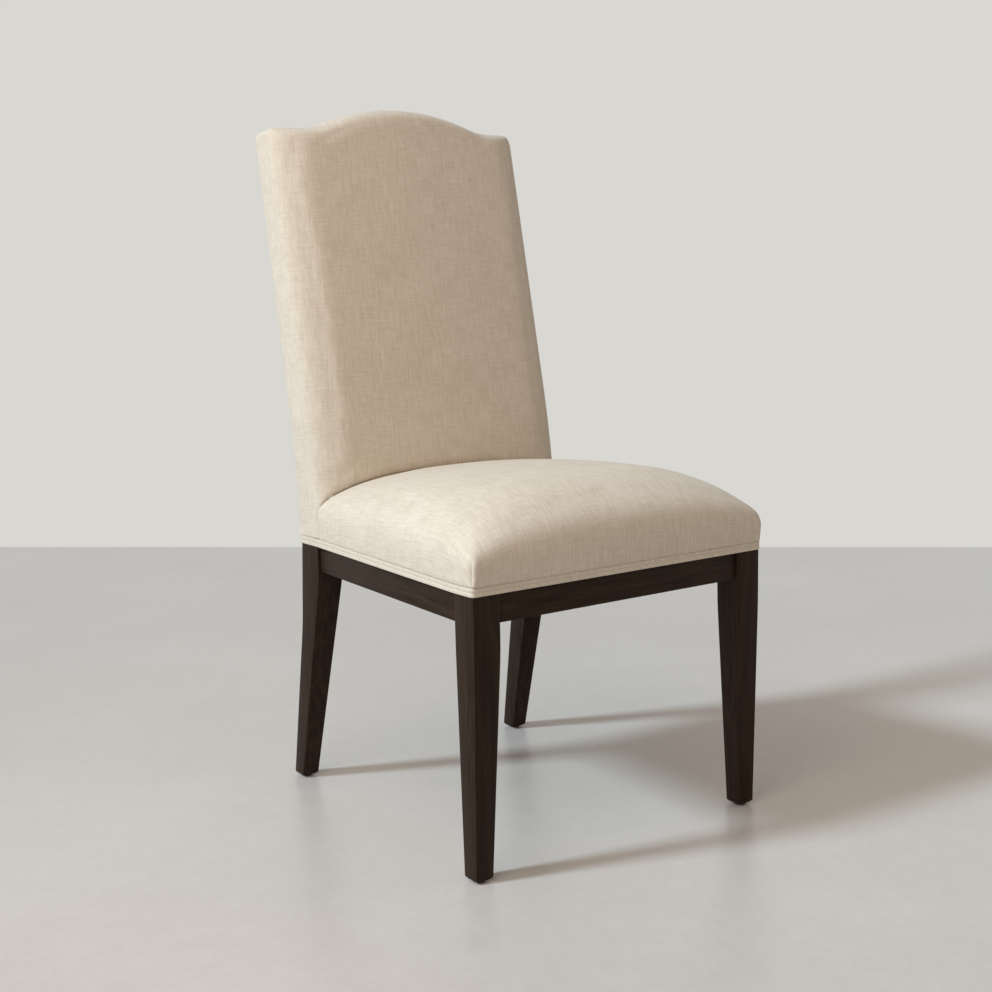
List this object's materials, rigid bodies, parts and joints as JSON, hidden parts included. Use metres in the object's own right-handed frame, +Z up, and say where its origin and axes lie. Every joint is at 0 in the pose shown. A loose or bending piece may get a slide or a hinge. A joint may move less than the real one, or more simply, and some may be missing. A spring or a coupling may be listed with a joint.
{
  "type": "parsons chair",
  "caption": "Armless upholstered dining chair with a camelback inside back and a crowned tight seat on a dark show-wood frame with tapered legs.",
  "frame": {"origin": "on the floor, below the middle of the chair's bounding box", "axes": "+X to the chair's right as seen from its front, +Y from the front of the seat towards the back, +Z up"},
  "size_m": [0.5126, 0.6082, 1.0394],
  "materials": {
    "stained_wood": "espresso stained hardwood, satin",
    "bare_wood": "plain sawn hardwood, unfinished",
    "steel": "zinc plated",
    "nylon": "moulded, matt",
    "webbing": "woven upholstery webbing",
    "linen": "beige slub linen, plain weave",
    "batting": "white polyester batting",
    "foam": "cut upholstery foam",
    "cambric": "black dust cover cloth"
  },
  "bodies": {
    "root": {"front_leg_left": "stained_wood", "front_leg_right": "stained_wood", "rear_leg_left": "stained_wood", "rear_leg_right": "stained_wood", "front_rail": "stained_wood", "rear_rail": "stained_wood", "side_rail_left": "stained_wood", "side_rail_right": "stained_wood", "corner_block_front_left": "bare_wood", "corner_block_front_right": "bare_wood", "corner_block_rear_left": "bare_wood", "corner_block_rear_right": "bare_wood", "block_screw_front_left_end": "steel", "block_screw_front_left_side": "steel", "block_screw_front_right_end": "steel", "block_screw_front_right_side": "steel", "block_screw_rear_left_end": "steel", "block_screw_rear_left_side": "steel", "block_screw_rear_right_end": "steel", "block_screw_rear_right_side": "steel", "glide_front_left": "nylon", "glide_front_right": "nylon", "glide_rear_left": "nylon", "glide_rear_right": "nylon", "lower_back_rail": "bare_wood", "crest_rail": "bare_wood", "seat_web_long_1": "webbing", "seat_web_long_2": "webbing", "seat_web_long_3": "webbing", "seat_web_long_4": "webbing", "seat_web_cross_1": "webbing", "seat_web_cross_2": "webbing", "seat_web_cross_3": "webbing", "seat_web_cross_4": "webbing", "back_web_1": "webbing", "back_web_2": "webbing", "back_web_3": "webbing", "back_web_4": "webbing", "seat_cover": "linen", "seat_batting": "batting", "seat_foam": "foam", "back_cover": "linen", "back_batting": "batting", "back_foam": "foam", "outside_back": "linen", "seat_welt_front": "linen", "seat_welt_rear": "linen", "seat_welt_left": "linen", "seat_welt_right": "linen", "dust_cover": "cambric"}
  },
  "joints": []
}
